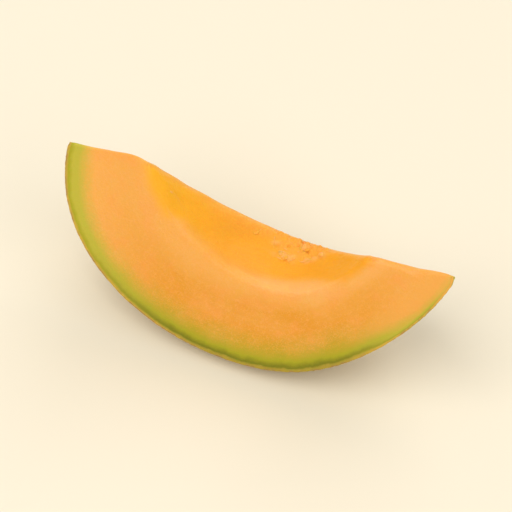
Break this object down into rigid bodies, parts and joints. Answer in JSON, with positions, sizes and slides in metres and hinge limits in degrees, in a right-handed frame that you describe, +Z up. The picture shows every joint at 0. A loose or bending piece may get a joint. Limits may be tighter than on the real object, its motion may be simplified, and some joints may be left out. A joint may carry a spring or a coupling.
{
  "type": "melon slice",
  "caption": "Wedge of netted, orange-fleshed melon with its rind on and its seeds scooped out, standing on its rind hollow side up.",
  "frame": {"origin": "under the middle of the slice, on the surface it stands on", "axes": "+X along the melon from the stem end to the blossom end, -Y the way the shown cut face looks, +Z up"},
  "size_m": [0.155, 0.0594, 0.0717],
  "materials": {
    "melon": "moist orange flesh with a thin green rim, and a dry netted khaki rind"
  },
  "bodies": {
    "root": {"melon_slice": "melon"}
  },
  "joints": []
}
